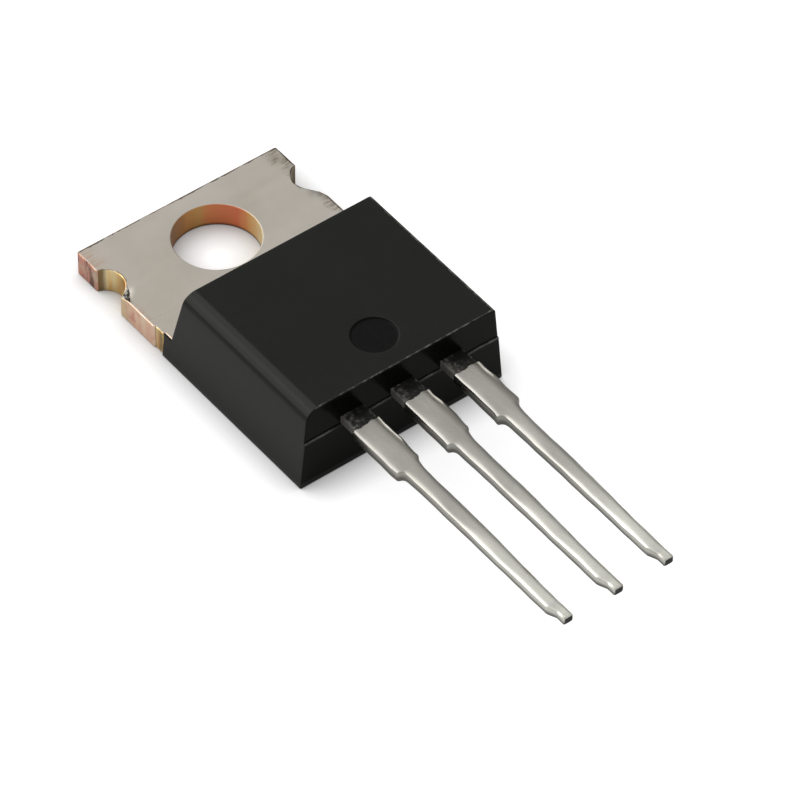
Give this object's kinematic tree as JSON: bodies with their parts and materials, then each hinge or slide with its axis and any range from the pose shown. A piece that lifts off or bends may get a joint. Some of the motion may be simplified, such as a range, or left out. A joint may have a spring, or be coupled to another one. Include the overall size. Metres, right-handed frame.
{
  "type": "power mosfet",
  "caption": "Black moulded power transistor lying on its back, with a drilled and notched metal heat tab at one end and a row of tinned leads at the other.",
  "frame": {"origin": "axis of the mounting hole, on the back face of the heat tab", "axes": "+X across the leads from gate to source, +Y towards the end of the tab, +Z from the back face up through the moulding"},
  "size_m": [0.0104, 0.0294, 0.0042],
  "materials": {
    "moulding": "black moulded epoxy, satin",
    "frame_metal": "copper frame under warm grey nickel plate",
    "silicon": "dark silicon, glossy",
    "solder": "dull soft solder",
    "bond_wire": "soft drawn aluminium wire",
    "lead_tin": "hot-dipped bright tin"
  },
  "bodies": {
    "root": {"mould_body": "moulding", "drain_frame": "frame_metal", "gate_lead": "frame_metal", "source_lead": "frame_metal", "silicon_die": "silicon", "die_solder": "solder", "gate_wire": "bond_wire", "inner_source_wire": "bond_wire", "outer_source_wire": "bond_wire", "gate_tinning": "lead_tin", "drain_tinning": "lead_tin", "source_tinning": "lead_tin"}
  },
  "joints": []
}
